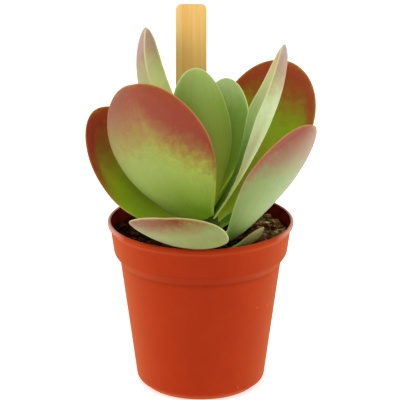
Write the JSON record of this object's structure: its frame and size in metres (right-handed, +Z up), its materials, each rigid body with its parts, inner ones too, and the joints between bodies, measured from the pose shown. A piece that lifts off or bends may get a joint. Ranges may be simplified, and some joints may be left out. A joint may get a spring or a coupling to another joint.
{
  "type": "potted paddle plant",
  "caption": "Young paddle plant, a rosette of broad cupped succulent leaves flushed with red, growing in a small terracotta-coloured nursery pot with a bare wooden label behind it.",
  "frame": {"origin": "centre of the pot's base, on the surface it stands on", "axes": "+Z up, -Y towards the viewer of the picture, +X to the viewer's right"},
  "size_m": [0.1295, 0.1275, 0.2175],
  "materials": {
    "pot_plastic": "satin moulded polypropylene in terracotta red",
    "potting_mix": "dark crumbled peat and bark",
    "stem_skin": "dull green-brown stem with leaf scars",
    "leaf_grey_green": "waxy leaf with a pale bloom and a faint red flush",
    "leaf_deep_green": "waxy plain green leaf",
    "leaf_red_flushed": "waxy leaf, green at the root and brick red at the end and rim",
    "leaf_pale_green": "waxy pale green leaf with a mauve tip",
    "label_wood": "bare planed wood, straight grain"
  },
  "bodies": {
    "root": {"pot": "pot_plastic", "soil": "potting_mix", "stem": "stem_skin", "label_stake": "label_wood", "leaf_low_front": "leaf_grey_green", "leaf_low_right": "leaf_grey_green", "leaf_low_back": "leaf_deep_green", "leaf_left_back": "leaf_red_flushed", "leaf_right_front": "leaf_grey_green", "leaf_left_front": "leaf_red_flushed", "leaf_right_back": "leaf_red_flushed", "leaf_left_upright": "leaf_pale_green", "leaf_right_upright": "leaf_pale_green", "leaf_centre_front": "leaf_deep_green", "leaf_centre_back": "leaf_deep_green"}
  },
  "joints": []
}
